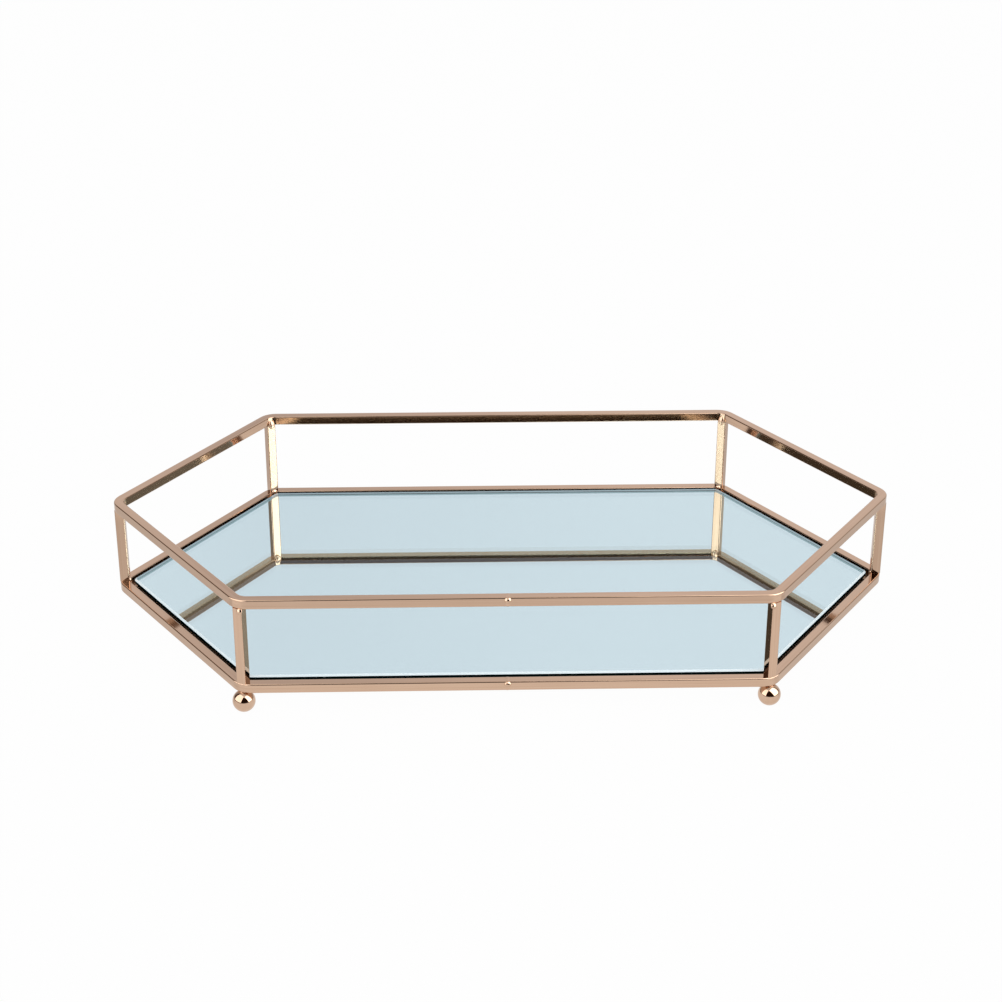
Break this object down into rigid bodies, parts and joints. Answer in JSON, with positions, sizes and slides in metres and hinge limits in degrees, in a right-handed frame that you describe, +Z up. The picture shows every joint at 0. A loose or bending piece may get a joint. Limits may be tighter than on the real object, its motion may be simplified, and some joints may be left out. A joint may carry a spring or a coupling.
{
  "type": "vanity tray",
  "caption": "Long hexagonal mirror tray for a dresser, with a low open gallery of rose-gold square wire on posts and ball feet.",
  "frame": {"origin": "middle of the tray on the surface it stands on, under the lowest points of the ball feet", "axes": "+X along the tray from tip to tip, towards the right tip; -Y is the front, where the rails are butt-welded; +Z up"},
  "size_m": [0.3562, 0.1966, 0.0558],
  "materials": {
    "plated_wire": "square steel wire plated satin rose gold",
    "weld_metal": "small weld nubs under the same plating, brighter and lumpy",
    "polished_foot": "polished steel balls plated bright rose gold",
    "mirror_glass": "clear float glass with a faint blue-green cast and ground arrises",
    "silvering": "silver film seen through the glass, grey backing paint underneath",
    "support_ledge": "flat steel strip plated with the frame",
    "foam_pad": "white adhesive foam"
  },
  "bodies": {
    "root": {"foam_pad_front_left": "foam_pad", "foam_pad_front_right": "foam_pad", "foam_pad_rear_left": "foam_pad", "foam_pad_rear_right": "foam_pad", "foam_pad_slant_front_left": "foam_pad", "foam_pad_slant_front_right": "foam_pad", "foam_pad_slant_rear_left": "foam_pad", "foam_pad_slant_rear_right": "foam_pad", "foot_front_left": "polished_foot", "foot_front_right": "polished_foot", "foot_rear_left": "polished_foot", "foot_rear_right": "polished_foot", "foot_weld_front_left": "weld_metal", "foot_weld_front_right": "weld_metal", "foot_weld_rear_left": "weld_metal", "foot_weld_rear_right": "weld_metal", "lower_rail": "plated_wire", "lower_rail_weld": "weld_metal", "mirror_glass": "mirror_glass", "mirror_silvering": "silvering", "post_front_left": "plated_wire", "post_front_right": "plated_wire", "post_left_tip": "plated_wire", "post_rear_left": "plated_wire", "post_rear_right": "plated_wire", "post_right_tip": "plated_wire", "support_ledge": "support_ledge", "tack_lower_front_left": "weld_metal", "tack_lower_front_right": "weld_metal", "tack_lower_left_tip": "weld_metal", "tack_lower_rear_left": "weld_metal", "tack_lower_rear_right": "weld_metal", "tack_lower_right_tip": "weld_metal", "tack_outer_front_left": "weld_metal", "tack_outer_front_right": "weld_metal", "tack_upper_front_left": "weld_metal", "tack_upper_front_right": "weld_metal", "tack_upper_left_tip": "weld_metal", "tack_upper_rear_left": "weld_metal", "tack_upper_rear_right": "weld_metal", "tack_upper_right_tip": "weld_metal", "upper_rail": "plated_wire", "upper_rail_weld": "weld_metal"}
  },
  "joints": []
}
